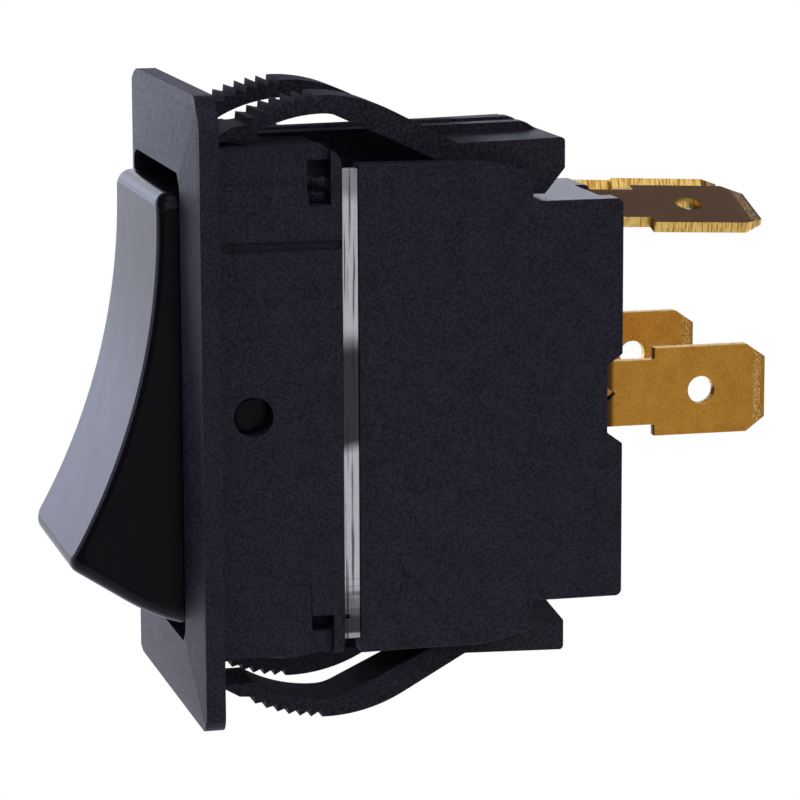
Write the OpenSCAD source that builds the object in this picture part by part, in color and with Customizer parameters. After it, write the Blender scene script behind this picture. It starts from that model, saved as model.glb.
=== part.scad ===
// Snap-in panel rocker switch: two poles, off and on, four quick-connect tabs.
// Origin: middle of the flange's back face. The rocker faces -Y, the tabs +Y, and Z runs along the flange.

/* [Flange] */
// Width of the flange
flange_w = 25.4; // [24:0.1:28]
// Length of the flange
flange_l = 43.9; // [42:0.1:48]
// Thickness of the flange at its outer edge
flange_edge = 1.35; // [1:0.05:2]
// Extra thickness of the flange at the rim of the rocker opening
flange_crown = 0.62; // [0.2:0.02:1]
// Radius of the flange's upper corners
flange_corner = 2.4; // [0.8:0.1:3]
// Radius of the flange's lower corners
flange_foot_corner = 1.2; // [0.8:0.1:3]
// Width of the rocker opening
opening_w = 17.26; // [16.5:0.02:17.6]
// Length of the rocker opening
opening_l = 32.8; // [32.4:0.1:33.2]
// Corner radius of the rocker opening
opening_corner = 1.2; // [0.4:0.1:2]

/* [Front housing] */
// Width of the housing behind the flange
housing_w = 21; // [20.6:0.1:22]
// Depth of the housing behind the flange
housing_depth = 8.95; // [8.4:0.05:10]
// Height of the housing's top above the body's centre line
housing_top = 18.4; // [17.8:0.1:18.4]
// Depth of the housing's bottom below the body's centre line
housing_bottom = 17; // [16.8:0.1:17.6]
// Distance of the body's centre line below the flange's centre
body_drop = 0.3; // [0:0.05:0.4]
// Radius of the housing's upper rear corner
housing_corner = 1.3; // [0.5:0.1:2]
// Width of each latch window, front to rear
window_w = 1.55; // [1.4:0.05:1.6]
// Distance of the upper latch windows' lower edge from the body's centre line
upper_window_z = 14.45; // [14.3:0.05:14.6]
// Height of the upper latch windows
upper_window_h = 3.1; // [1.6:0.05:3.3]
// Distance of the lower latch windows' upper edge from the body's centre line
lower_window_z = 14.25; // [14:0.05:14.4]
// Height of the lower latch windows
lower_window_h = 1.2; // [1.1:0.05:1.6]
// Distance of the latch windows from the housing's rear edge
window_margin = 0.75; // [0.6:0.05:1]
// Depth of the relief that runs from each window to the end
relief_depth = 0.6; // [0.15:0.05:0.8]
// Radius of the upper relief's curved front wall
relief_radius = 5.4; // [4.5:0.1:7]
// Height of the long groove in each side above the body's centre line
groove_z = 12.07; // [9:0.01:13]
// Width of the long groove
groove_w = 0.7; // [0.4:0.1:1]
// Height of the side panels' upper edge above the body's centre line
panel_top = 16; // [15:0.1:16.5]
// Depth of the side panels' lower edge below the body's centre line
panel_bottom = 11.9; // [11:0.1:13]
// Depth of the long groove and of the stepped side panels
groove_depth = 0.3; // [0.1:0.05:0.5]

/* [Rocker] */
// Width of the rocker
rocker_w = 16.6; // [16:0.1:16.7]
// Length of the rocker's front face
rocker_l = 26.9; // [25:0.1:28]
// Radius that the rocker's ends sweep about the pivot
rocker_sweep = 15.7; // [15.2:0.05:15.8]
// Distance of the pivot behind the flange's back face
pivot_y = 2.64; // [2.4:0.02:2.8]
// Distance from the pivot to the middle of the front face
rocker_rise = 7.85; // [7:0.05:8.5]
// Radius of the hollow in the front face
rocker_dish = 46.6; // [40:0.2:80]
// Rounding of the front face's ends
rocker_corner = 0.9; // [0.3:0.05:1.2]
// Rounding of the front face's long edges
rocker_edge = 0.45; // [0.2:0.05:0.8]
// Rounding of the ends' side edges
rocker_side = 1.2; // [0.4:0.1:1.4]
// Wall thickness of the rocker's shell
rocker_wall = 1.4; // [1:0.05:1.6]
// Tilt of the rocker to each side of the middle, in degrees
rocker_tilt = 14.5; // [10:0.5:15]
// Diameter of the pivot bosses
boss_d = 2.7; // [2.2:0.1:3]
// Distance of the boss ends inside the housing's faces
boss_recess = 1; // [0.3:0.05:1.1]
// Diameter of the boss tips
boss_tip_d = 2.1; // [1.6:0.1:2.4]

/* [Yoke plate] */
// Thickness of the steel yoke plate
yoke_t = 1.1; // [1:0.05:1.5]
// Height of the yoke plate's top above the body's centre line
yoke_top = 16.9; // [16.4:0.1:17.1]
// Depth of the yoke plate's bottom below the body's centre line
yoke_bottom = 16.05; // [15.9:0.05:17]
// Length of the window in the yoke plate
yoke_window_l = 22; // [16:0.5:25]
// Width of the ears at the yoke plate's upper corners
yoke_ear_w = 0.7; // [0.4:0.1:1]
// Height of the ears at the yoke plate's upper corners
yoke_ear_h = 0.5; // [0.2:0.1:0.6]
// Depth of the small notch in each side of the yoke plate
yoke_notch = 0.5; // [0.2:0.1:0.8]

/* [Base] */
// Width of the base
base_w = 20.6; // [20.2:0.1:21]
// Distance of the base's rear face behind the flange
base_rear = 29.2; // [28.8:0.1:31]
// Half of the base's height, without its cheeks
base_half = 14.2; // [14:0.02:14.4]
// Half of the base's height over the cheeks
cheek_half = 17.15; // [16.5:0.05:17.4]
// Thickness of each cheek
cheek_t = 1.7; // [1.2:0.1:2]
// Distance of the cheeks' rear ends behind the flange
cheek_rear = 22.95; // [22:0.05:24]
// Side wall thickness of the base
base_wall = 1.5; // [1.2:0.05:1.6]
// Rear wall thickness of the base
base_back = 3; // [2.2:0.1:3.2]
// Half of the cavity's height
cavity_half = 12.2; // [12:0.05:12.4]
// Thickness of the partition between the two poles
partition_t = 1.4; // [1:0.1:2]
// Depth of the pockets round the terminals in the rear face
pocket_depth = 1.1; // [0.5:0.1:1.5]

/* [Snap-in clips] */
// Half of the width over the two wings of a clip
clip_half_w = 8.3; // [8:0.05:8.5]
// Width of each wing
wing_w = 4.6; // [4:0.1:4.7]
// Highest point of the upper wings above the body's centre line
upper_wing_top = 21.78; // [21:0.02:22.6]
// Lowest point of the lower wings below the body's centre line
lower_wing_top = 22.12; // [21:0.02:22.6]
// Distance of the wings' highest point behind the flange
wing_peak_y = 8.2; // [7.5:0.05:8.4]
// Radius of the upper wings' outer curve
upper_wing_radius = 10.5; // [10:0.1:12]
// Radius of the lower wings' outer curve
lower_wing_radius = 11.3; // [10:0.1:12]
// Slope of the upper wings' straight part, in degrees
upper_wing_slope = 27; // [26:0.5:31]
// Slope of the lower wings' straight part, in degrees
lower_wing_slope = 29; // [26:0.5:31]
// Thickness of the wings at their highest point
wing_t = 1.27; // [1.1:0.01:1.6]
// Slope of the wings' inner face, in degrees
wing_inner_slope = 25; // [23:0.5:26]
// Gap between the wing tips and the flange
wing_tip_gap = 0.45; // [0.3:0.05:1]
// Number of teeth on each wing
teeth = 7; // [5:1:7]
// Pitch of the teeth
tooth_pitch = 0.8; // [0.7:0.01:0.85]
// Depth of the teeth
tooth_depth = 0.5; // [0.15:0.01:0.55]
// Height of the clip's root blocks above the body's centre line, at their rear end
clip_block = 18.38; // [17.8:0.02:18.6]
// Fall of the root blocks' top towards the wings
clip_block_fall = 0.2; // [0:0.02:0.3]
// Distance of the clip's rear end behind the flange
clip_rear = 25.5; // [25:0.05:26]
// Height of the root blocks' rear toes above the base
clip_toe = 0.2; // [0.1:0.05:0.4]
// Half of the width of the spine between the wings
spine_half_w = 2.45; // [2.2:0.05:3]
// Rise of the spine over the root blocks at its rear end
spine_rise = 0.57; // [0.4:0.01:1]
// Slope of the spine's top, in degrees
spine_slope = 0.9; // [0:0.1:1.5]
// Distance of the spine's front end behind the flange
spine_front = 5; // [4:0.1:6]
// Depth of the channel that the upper spine lies in, in the housing's top
spine_channel = 0.6; // [0.3:0.05:0.8]

/* [Terminals] */
// Width of the quick-connect tabs
tab_w = 6.35; // [6.2:0.05:6.4]
// Thickness of the tabs
tab_t = 0.8; // [0.5:0.05:0.85]
// Distance of the tab tips behind the flange
tab_tip = 40.5; // [39:0.1:42]
// Length of the tabs from shoulder to tip
tab_l = 8.35; // [7.8:0.05:8.6]
// Distance of the hole's centre from the tab's tip
tab_hole_y = 4.85; // [4:0.05:5.2]
// Diameter of the hole in each tab
tab_hole_d = 1.95; // [1.4:0.05:2.2]
// Length of the slanted corners at the tab's tip
tab_lead_l = 1.45; // [1:0.05:1.6]
// Width of the slanted corners at the tab's tip
tab_lead_w = 1; // [0.6:0.05:1.2]
// Thickness of the coined tip
tab_lead_t = 0.45; // [0.3:0.05:0.6]
// Width of the neck in front of the shoulders
neck_w = 4.7; // [4.2:0.05:4.8]
// Width of the terminal strip inside the base
strip_w = 3.6; // [3:0.05:3.8]
// Distance of the middle terminals from the centre
middle_x = 8; // [7.8:0.02:8.1]
// Distance of the upper terminals from the centre
upper_x = 5.2; // [5:0.02:5.4]
// Height of the upper terminals above the body's centre line
upper_z = 12.92; // [12.6:0.02:12.95]
// Slant of the upper terminals, in degrees
upper_slant = 17.5; // [15:0.5:18]
// Droop of the upper tabs towards their tips, in degrees
upper_droop = 2.7; // [0:0.1:4]
// Length of the staking notch at the root of the middle necks
stake_notch_l = 1.15; // [0.3:0.05:1.3]
// Half of the staking notch's width at the root
stake_notch_half = 1; // [0.4:0.05:1.2]

/* [Contact mechanism] */
// Distance of each pole's contact blade from the centre
pole_x = 4.3; // [4.25:0.01:4.35]
// Diameter of the plungers
plunger_d = 3; // [2.6:0.1:3.2]
// Distance from the pivot to the centre of the plunger's round tip
plunger_reach = 17; // [16.5:0.1:17.2]
// Distance from the pivot to the plunger's shoulder, which the spring pushes
plunger_shoulder = 7.4; // [7:0.1:8]
// Diameter of the plunger's stem inside its spring
stem_d = 1.1; // [0.8:0.1:1.3]
// Outside diameter of the guide tubes in the rocker
guide_d = 5; // [4.6:0.1:5.2]
// Distance from the pivot to the end of the guide tubes
guide_reach = 10.5; // [9.5:0.1:11]
// Distance from the pivot to the bottom of the guide bores
guide_floor = 2.6; // [2:0.1:3]
// Wire diameter of the plunger springs
spring_wire = 0.35; // [0.25:0.05:0.4]
// Number of turns of the plunger springs
spring_turns = 6; // [5:0.5:8]
// Width of the contact blades
blade_w = 3.4; // [3:0.1:3.6]
// Thickness of the contact blades
blade_t = 0.6; // [0.4:0.05:0.7]
// Tilt of the contact blades to each side, in degrees
blade_tilt = 7; // [6:0.5:7]
// Radius of the bead that the blades rock on
bead_r = 0.6; // [0.4:0.05:0.7]
// Diameter of the contacts
contact_d = 2.4; // [2:0.1:2.8]
// Thickness of the contacts
contact_t = 0.7; // [0.5:0.05:0.9]

/* [Clearances] */
// Gap between pieces that lie face to face
seat_gap = 0.05; // [0.02:0.01:0.1]
// Radial gap of the pivot bosses, plungers and blades
running_gap = 0.05; // [0.03:0.01:0.08]
// Gap between the plunger tips and the blades
tip_gap = 0.08; // [0.05:0.01:0.12]
// Gap between the blades' ends and the cavity
blade_end_gap = 0.9; // [0.7:0.05:1.2]
// Gap between the clips and the cheeks of the base
clip_gap = 0.3; // [0.1:0.05:0.4]

/* [Hidden] */
$fn = 96;
eps = 0.01;
over = 1;
plastic = [0.15, 0.15, 0.19];
brass = [0.72, 0.53, 0.2];
silver = [0.85, 0.86, 0.88];

flange_front = flange_edge + flange_crown;
yoke_y = housing_depth + seat_gap;
base_y = yoke_y + yoke_t + seat_gap;
base_half_w = base_w / 2;
cheek_x = clip_half_w + clip_gap;
cavity_rear = base_rear - base_back;
window_y = housing_depth - window_margin - window_w;
shoulder_y = tab_tip - tab_l;
pocket_y = base_rear - pocket_depth;

// The rocker's end faces slope from the front corners out to the swept radius.
rocker_half = rocker_l / 2;
rocker_end_slope = 0.325;
rocker_skirt = 0.6;
rocker_ear = 3.3;
shaft_r = boss_d / 2;
boss_tip_l = 0.5;
boss_flat = 0.2;

// The blade rocks as the plunger tip crosses it, so its dish follows the tip's path.
plunger_r = plunger_d / 2;
blade_half = cavity_half - blade_end_gap;
contact_z = blade_half - contact_d / 2 - 0.35;
bead_to_face = bead_r + running_gap + blade_t;
fulcrum_y = pivot_y + plunger_reach + plunger_r + tip_gap + bead_to_face;
fulcrum_span = fulcrum_y - pivot_y;
path_rise = fulcrum_span * cos(blade_tilt) - plunger_reach * cos(rocker_tilt + blade_tilt)
    - (fulcrum_span - plunger_reach);
path_run = plunger_reach * sin(rocker_tilt + blade_tilt) - fulcrum_span * sin(blade_tilt);
path_radius = (path_run * path_run + path_rise * path_rise) / (2 * path_rise);
dish_radius = path_radius + plunger_r + tip_gap;
dish_angle = asin(path_run / path_radius) + 3.5;
dish_end = [dish_radius * sin(dish_angle), bead_to_face + dish_radius * (1 - cos(dish_angle))];
arm_start = [dish_end[0] + 0.55, dish_end[1] + 0.25];
arm_end = [blade_half, arm_start[1] + (blade_half - arm_start[0]) * tan(blade_tilt)];
arm_at_contact = arm_start[1] + (contact_z - arm_start[0]) * tan(blade_tilt);
arm_rear_at_contact = arm_at_contact - blade_t / cos(blade_tilt);

// In the closed position the moving contact's face lies flat against the fixed one.
closed_face_y = fulcrum_y - (arm_rear_at_contact - contact_t / cos(blade_tilt)) * cos(blade_tilt)
    + contact_z * sin(blade_tilt);
fixed_face_y = closed_face_y + seat_gap;
contact_leg_y = fixed_face_y + contact_t;
open_arm_y = fulcrum_y - arm_rear_at_contact * cos(blade_tilt) + contact_z * sin(blade_tilt);
contact_drop = (upper_z - contact_z) / cos(upper_slant);
leg_l = contact_drop + contact_d / 2 + 0.5;

// The wings' curves run tangent into their straight parts.
wing_knee_radius = 3;
wing_tip_radius = 10;
first_tooth_y = wing_peak_y - 0.42;
clip_block_front = clip_block - clip_block_fall;
spine_top_rear = clip_block + spine_rise;
spine_round_y = 1.3;
clip_floor = base_half + seat_gap;
key_half_w = 2;
key_depth = 1;
key_front = 13;
key_rear = 21;

latch_x = opening_w / 2 - 0.2;
latch_t = 1.25;
latch_h = 0.75;
latch_z = upper_window_z + seat_gap;
latch_reach = 0.7;

// ---------- shared shapes ----------

// Points of an arc about [cy, cz].
function arc(cy, cz, r, a0, a1, n) = [for (i = [0:n]) let (a = a0 + (a1 - a0) * i / n) [cy + r * cos(a), cz + r * sin(a)]];

function unit(v) = v / norm(v);

// One corner of a closed outline, rounded with its own radius.
function round_corner(p, q, s, r, n) =
    r == 0 ? [q] :
    let (a = unit(p - q), b = unit(s - q), half = acos(a * b) / 2, c = q + unit(a + b) * r / sin(half),
         u = q + a * r / tan(half) - c, v = q + b * r / tan(half) - c, a0 = atan2(u[1], u[0]),
         turn = atan2(u[0] * v[1] - u[1] * v[0], u * v))
    [for (i = [0:n]) c + r * [cos(a0 + turn * i / n), sin(a0 + turn * i / n)]];

// A closed outline from [y, z, radius] corners.
function rounded(pts, n = 6) =
    let (m = len(pts))
    [for (i = [0:m - 1]) let (p = pts[(i + m - 1) % m], q = pts[i], s = pts[(i + 1) % m])
        each round_corner([p[0], p[1]], [q[0], q[1]], [s[0], s[1]], q[2], n)];

// Centre of the circle that rounds corner q between p and s.
function corner_centre(p, q, s, r) =
    let (a = unit(p - q), b = unit(s - q), half = acos(a * b) / 2) q + unit(a + b) * r / sin(half);

// A closed outline from [y, z, radius] corners, whose outward corners are rounded by whole circles.
module soft(pts) {
    m = len(pts);
    polygon(rounded(pts, 1));
    for (i = [0:m - 1]) if (pts[i][2] > 0) {
        p = pts[(i + m - 1) % m];
        q = pts[i];
        s = pts[(i + 1) % m];
        translate(corner_centre([p[0], p[1]], [q[0], q[1]], [s[0], s[1]], q[2])) circle(q[2]);
    }
}

// Extrudes an outline drawn in the Y-Z plane from x0 to x1.
module along_x(x0, x1) {
    translate([x0, 0, 0]) rotate([90, 0, 90]) linear_extrude(x1 - x0) children();
}

// A round bar along X, centred on [y, z].
module bar_x(x0, x1, r, y = 0, z = 0) {
    translate([x0, y, z]) rotate([0, 90, 0]) cylinder(h = x1 - x0, r = r);
}

module both_sides() {
    children();
    mirror([1, 0, 0]) children();
}

module both_ends() {
    children();
    mirror([0, 0, 1]) children();
}

// A box between two corners.
module block(lo, hi) {
    translate(lo) cube(hi - lo);
}

module rounded_rect(w, l, r) {
    square([w - 2 * r, l], center = true);
    square([w, l - 2 * r], center = true);
    for (x = [-1, 1], z = [-1, 1]) translate([x * (w / 2 - r), z * (l / 2 - r)]) circle(r);
}

// A plate of the given outline between two depths.
module plate(y0, y1) {
    translate([0, y1, 0]) rotate([90, 0, 0]) linear_extrude(y1 - y0) children();
}

module at_body() {
    translate([0, 0, -body_drop]) children();
}

// ---------- front frame ----------

// Radius of a crown that rises from the flange's edge to the opening's rim.
function crown_radius(half, rim) = (half * half - rim * rim) / (2 * flange_crown);

module crown(half, rim) {
    r = crown_radius(half, rim);
    translate([0, sqrt(r * r - half * half) - flange_edge, 0])
        cylinder(h = 2 * flange_l, r = r, center = true, $fn = 720);
}

module flange_outline() {
    x = flange_w / 2;
    z = flange_l / 2;
    soft([[-x, -z, flange_foot_corner], [x, -z, flange_foot_corner], [x, z, flange_corner], [-x, z, flange_corner]]);
}

module flange() {
    intersection() {
        plate(-2 * flange_front, 0) flange_outline();
        crown(flange_w / 2, opening_w / 2);
        rotate([0, 90, 0]) crown(flange_l / 2, opening_l / 2);
    }
}

module housing_walls() {
    at_body() along_x(-housing_w / 2, housing_w / 2) soft([
        [-eps, -housing_bottom, 0], [housing_depth, -housing_bottom, 0.4],
        [housing_depth, housing_top, housing_corner], [-eps, housing_top, 0],
    ]);
}

// The relief over the upper windows curves forward on its way to the end.
module upper_relief_outline() {
    rise = housing_top - upper_window_z;
    flare = relief_radius - sqrt(relief_radius * relief_radius - rise * rise);
    translate([window_y, upper_window_z]) square([window_w, rise + over]);
    difference() {
        translate([window_y - flare, upper_window_z]) square([flare + eps, rise]);
        translate([window_y - relief_radius, upper_window_z]) circle(relief_radius);
    }
}

module window(low, high) {
    block([latch_x, window_y, low], [housing_w / 2 + over, window_y + window_w, high]);
}

module side_cuts() {
    relief_x = housing_w / 2 - relief_depth;
    groove_x = housing_w / 2 - groove_depth;
    step_x = housing_w / 2 - groove_depth / 3;
    along_x(relief_x, housing_w / 2 + over) upper_relief_outline();
    block([relief_x, window_y, -housing_bottom - over], [housing_w / 2 + over, window_y + window_w, -lower_window_z]);
    window(upper_window_z, upper_window_z + upper_window_h);
    window(-lower_window_z - lower_window_h, -lower_window_z);
    block([groove_x, seat_gap, groove_z - groove_w], [housing_w / 2 + over, housing_depth - groove_w / 2, groove_z]);
    bar_x(groove_x, housing_w / 2 + over, groove_w / 2, housing_depth - groove_w / 2, groove_z - groove_w / 2);
    // Shallow steps above and below the middle panel of each side.
    block([step_x, seat_gap, panel_top], [housing_w / 2 + over, window_y, housing_top + over]);
    block([step_x, seat_gap, -housing_bottom - over], [housing_w / 2 + over, window_y, -panel_bottom]);
}

// Channel for the upper clip's spine.
module spine_slot() {
    block([-spine_half_w - seat_gap, spine_front - seat_gap, housing_top - spine_channel],
        [spine_half_w + seat_gap, housing_depth + over, housing_top + over]);
}

module front_frame() {
    color(plastic) difference() {
        union() {
            flange();
            housing_walls();
        }
        plate(-2 * flange_front, housing_depth + over) rounded_rect(opening_w, opening_l, opening_corner);
        at_body() both_sides() side_cuts();
        at_body() spine_slot();
        at_body() bar_x(-housing_w, housing_w, shaft_r + running_gap, pivot_y, 0);
    }
}

// ---------- rocker ----------

// Height of the sloping end face at depth y, both about the pivot.
function end_z(y) = rocker_half + rocker_end_slope * (y + rocker_rise + 1.9);

// The hollow's axis runs across in front of the rocker.
dish_y = -rocker_rise - rocker_dish;

// The corner round touches both the hollow and the sloping end face.
module rocker_outline() {
    s2 = 1 + rocker_end_slope * rocker_end_slope;
    base_z = end_z(0) - rocker_corner * sqrt(s2);
    reach = rocker_dish + rocker_corner;
    half_b = base_z * rocker_end_slope - dish_y;
    c_y = (sqrt(half_b * half_b - s2 * (dish_y * dish_y + base_z * base_z - reach * reach)) - half_b) / s2;
    c_z = base_z + rocker_end_slope * c_y;
    front = [dish_y + (c_y - dish_y) * rocker_dish / reach, c_z * rocker_dish / reach];
    end = [c_y - rocker_corner * rocker_end_slope / sqrt(s2), c_z + rocker_corner / sqrt(s2)];
    difference() {
        polygon([
            front, end, [0, end_z(0)], [0, rocker_sweep + over], [-rocker_skirt, rocker_sweep + over],
            [-rocker_skirt, -rocker_sweep - over], [0, -rocker_sweep - over], [0, -end_z(0)],
            [end[0], -end[1]], [front[0], -front[1]],
        ]);
        translate([dish_y, 0]) circle(rocker_dish, $fn = 360);
        translate([-rocker_skirt, -2 * rocker_sweep]) square([rocker_sweep, 4 * rocker_sweep]);
    }
    for (z = [-c_z, c_z]) translate([c_y, z]) circle(rocker_corner);
}

// A ring about the hollow's axis, whose inner edges round the rocker's long edges.
module rocker_ring() {
    translate([0, dish_y, 0]) rotate([0, 90, 0]) rotate_extrude($fn = 360) translate([rocker_dish, 0]) difference() {
        translate([0, -rocker_w / 2]) square([2 * rocker_sweep, rocker_w]);
        for (side = [-1, 1]) difference() {
            translate([-eps, side * (rocker_w / 2 - rocker_edge / 2 + eps)])
                square([2 * (rocker_edge + eps), rocker_edge + 2 * eps], center = true);
            translate([rocker_edge, side * (rocker_w / 2 - rocker_edge)]) circle(rocker_edge);
            translate([rocker_edge, side * rocker_w / 2 - rocker_edge]) square(2 * rocker_edge);
        }
    }
}

// A bar along the sloping end face, whose corners round the end's side edges.
module rocker_end_bar() {
    translate([0, 0, end_z(0)]) rotate([atan(rocker_end_slope), 0, 0]) plate(-2 * rocker_sweep, 2 * rocker_sweep)
        translate([0, -2 * rocker_sweep]) rounded_rect(rocker_w, 4 * rocker_sweep, rocker_side);
}

module rocker_solid() {
    intersection() {
        along_x(-rocker_w / 2, rocker_w / 2) rocker_outline();
        bar_x(-rocker_w, rocker_w, rocker_sweep);
        rocker_ring();
        rocker_end_bar();
        mirror([0, 0, 1]) rocker_end_bar();
    }
}

module rocker_cavity() {
    inner = rocker_w / 2 - rocker_wall;
    front = -rocker_rise + rocker_wall + 0.2;
    along_x(-inner, inner) polygon([
        [front, end_z(front) - rocker_wall], [-3.4, rocker_sweep - rocker_wall - 0.3],
        [over, rocker_sweep - rocker_wall - 0.3], [over, -rocker_sweep + rocker_wall + 0.3],
        [-3.4, -rocker_sweep + rocker_wall + 0.3], [front, -end_z(front) + rocker_wall],
    ]);
}

module guide_tube() {
    front = -rocker_rise + rocker_wall / 2;
    translate([pole_x, front, 0]) rotate([-90, 0, 0]) cylinder(h = guide_reach - front, d = guide_d);
}

module guide_bore() {
    translate([pole_x, guide_floor, 0]) rotate([-90, 0, 0])
        cylinder(h = guide_reach, r = plunger_r + running_gap);
}

// Stiffening web between the guide tubes and the end skirts.
module rocker_web() {
    block([-rocker_wall / 2, -rocker_rise + rocker_wall / 2, -end_z(-3.4) + rocker_wall],
        [rocker_wall / 2, -rocker_skirt, end_z(-3.4) - rocker_wall]);
}

// The boss has a narrower tip with a flat at its rear, which leads it into the frame.
module pivot_boss() {
    tip_x = housing_w / 2 - boss_recess;
    bar_x(rocker_w / 2 - eps, tip_x - boss_tip_l, shaft_r);
    difference() {
        bar_x(rocker_w / 2, tip_x, boss_tip_d / 2);
        block([tip_x - boss_tip_l, boss_flat, -shaft_r], [tip_x + over, shaft_r + over, shaft_r]);
    }
}

module at_pivot() {
    at_body() translate([0, pivot_y, 0]) rotate([-rocker_tilt, 0, 0]) children();
}

module rocker() {
    color([0.33, 0.34, 0.4]) at_pivot() difference() {
        union() {
            difference() {
                rocker_solid();
                rocker_cavity();
            }
            rocker_web();
            both_sides() {
                guide_tube();
                bar_x(rocker_w / 2 - rocker_wall, rocker_w / 2, rocker_ear);
                pivot_boss();
                block([pole_x, -rocker_skirt - 2, -rocker_wall / 2], [rocker_w / 2 - eps, guide_floor, rocker_wall / 2]);
            }
        }
        both_sides() guide_bore();
    }
}

// ---------- yoke plate ----------

module yoke_plate() {
    half_w = base_half_w - eps;
    window_half = pole_x + guide_d / 2 + 1;
    color(silver) at_body() difference() {
        block([-half_w, yoke_y, -yoke_bottom], [half_w, yoke_y + yoke_t, yoke_top]);
        plate(0, base_y + over) rounded_rect(2 * window_half, yoke_window_l, 1);
        block([-half_w + yoke_ear_w, 0, yoke_top - yoke_ear_h], [half_w - yoke_ear_w, base_y + over, yoke_top + over]);
        both_sides() both_ends() block([latch_x - latch_t - seat_gap, 0, latch_z - seat_gap],
            [latch_x + seat_gap, base_y + over, latch_z + latch_h + seat_gap]);
        both_sides() along_x(half_w - yoke_notch, half_w + over) translate([yoke_y - eps, -yoke_bottom + 1.4])
            square([yoke_t / 3, 0.3]);
    }
}

// ---------- base ----------

module cheek() {
    knee = cheek_rear - 3.6;
    along_x(cheek_x, base_half_w) polygon(rounded([
        [base_y, 0, 0], [base_y, cheek_half, 0.2], [knee, cheek_half - 0.08, 9],
        [cheek_rear - 0.1, cheek_half - 0.95, 0.35], [cheek_rear - 0.5, base_half - over, 0], [cheek_rear - 0.5, 0, 0],
    ], 10));
}

module at_upper_terminal() {
    translate([upper_x, 0, upper_z]) rotate([0, upper_slant, 0]) children();
}

module terminal_slots() {
    gap = [seat_gap, 0, seat_gap];
    block([middle_x - tab_t / 2 - seat_gap, cavity_rear - over, -neck_w / 2 - seat_gap],
        [middle_x + tab_t / 2 + seat_gap, base_rear + over, neck_w / 2 + seat_gap]);
    at_upper_terminal() block([-strip_w / 2, contact_leg_y - seat_gap, -tab_t / 2] - gap,
        [strip_w / 2, base_rear + over, tab_t / 2] + gap);
}

module terminal_pockets() {
    flare = 0.8;
    half = neck_w / 2 + seat_gap;
    along_x(middle_x - 1.5, base_half_w + over) polygon([
        [pocket_y, -half], [pocket_y, half], [base_rear, half + flare], [base_rear + over, half + flare],
        [base_rear + over, -half - flare], [base_rear, -half - flare],
    ]);
    block([upper_x - 3, pocket_y, upper_z - 1.5], [upper_x + 3, base_rear + over, base_half + over]);
}

module pole_cavity() {
    block([partition_t / 2, base_y - over, -cavity_half], [base_half_w - base_wall, cavity_rear, cavity_half]);
    // Room for the upper terminal's bent leg.
    at_upper_terminal() block([-strip_w / 2 - seat_gap, contact_leg_y - contact_t - 0.3, -leg_l],
        [strip_w / 2 + seat_gap, contact_leg_y + tab_t + seat_gap, tab_t / 2 + seat_gap]);
}

// Rib that the lower end of a blade rests on in the off position.
module stop_rib() {
    block([pole_x - blade_w / 2, open_arm_y + seat_gap, -cavity_half - eps],
        [pole_x + blade_w / 2, cavity_rear + eps, -contact_z + contact_d / 2]);
}

// Hooked arm that runs through the yoke plate and snaps into a housing window.
module latch_arm() {
    top = latch_z + latch_h;
    block([latch_x - latch_t, window_y + seat_gap, latch_z], [latch_x, base_y + eps, top]);
    translate([0, 0, latch_z]) linear_extrude(latch_h) polygon([
        [latch_x - eps, window_y + seat_gap], [latch_x + latch_reach * 0.35, window_y + seat_gap],
        [latch_x + latch_reach, window_y + window_w * 0.6], [latch_x + latch_reach, window_y + window_w - seat_gap],
        [latch_x - eps, window_y + window_w - seat_gap],
    ]);
}

// Shoulder that ties each latch arm to the front of the base.
module latch_root() {
    block([latch_x - latch_t, base_y, cavity_half - eps], [cheek_x + eps, base_y + 2.2, latch_z + latch_h]);
}

module base() {
    color(plastic) at_body() {
        difference() {
            union() {
                along_x(-base_half_w, base_half_w) soft([
                    [base_y, -base_half, 0], [base_rear, -base_half, 0.45],
                    [base_rear, base_half, 0.45], [base_y, base_half, 0],
                ]);
                both_sides() both_ends() {
                    cheek();
                    latch_root();
                }
            }
            both_sides() {
                pole_cavity();
                terminal_slots();
                terminal_pockets();
            }
            both_ends() block([-key_half_w - seat_gap, key_front - seat_gap, clip_floor - key_depth - 2 * seat_gap],
                [key_half_w + seat_gap, key_rear + seat_gap, base_half + over]);
        }
        both_sides() stop_rib();
        both_sides() both_ends() latch_arm();
    }
}

// ---------- snap-in clips ----------

function wing_outer(y, top, r) = top - r + sqrt(r * r - (y - wing_peak_y) * (y - wing_peak_y));

// Where the wing's straight outer part reaches the root block's top.
function wing_root_y(top, r, slope) =
    wing_peak_y + r * sin(slope) + (top - r * (1 - cos(slope)) - clip_block_front) / tan(slope);

// Height of the wing's straight inner face.
function wing_inner(y, top) = top - wing_t - wing_knee_radius * (1 - cos(wing_inner_slope))
    - (y - wing_peak_y - wing_knee_radius * sin(wing_inner_slope)) * tan(wing_inner_slope);

// Where the wing's inner face comes down to height z.
function wing_foot_y(z, top) = wing_peak_y + (wing_inner(wing_peak_y, top) - z) / tan(wing_inner_slope);

// Saw teeth from the highest point towards the tip: each has a steep face, then a flank that rises to the next.
function tooth_line(top, r) = [for (i = [0:teeth - 1]) let (y = first_tooth_y - i * tooth_pitch, z = wing_outer(y, top, r))
    each [[y, z], [y - tooth_pitch / 16, z - tooth_depth]]];

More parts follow.
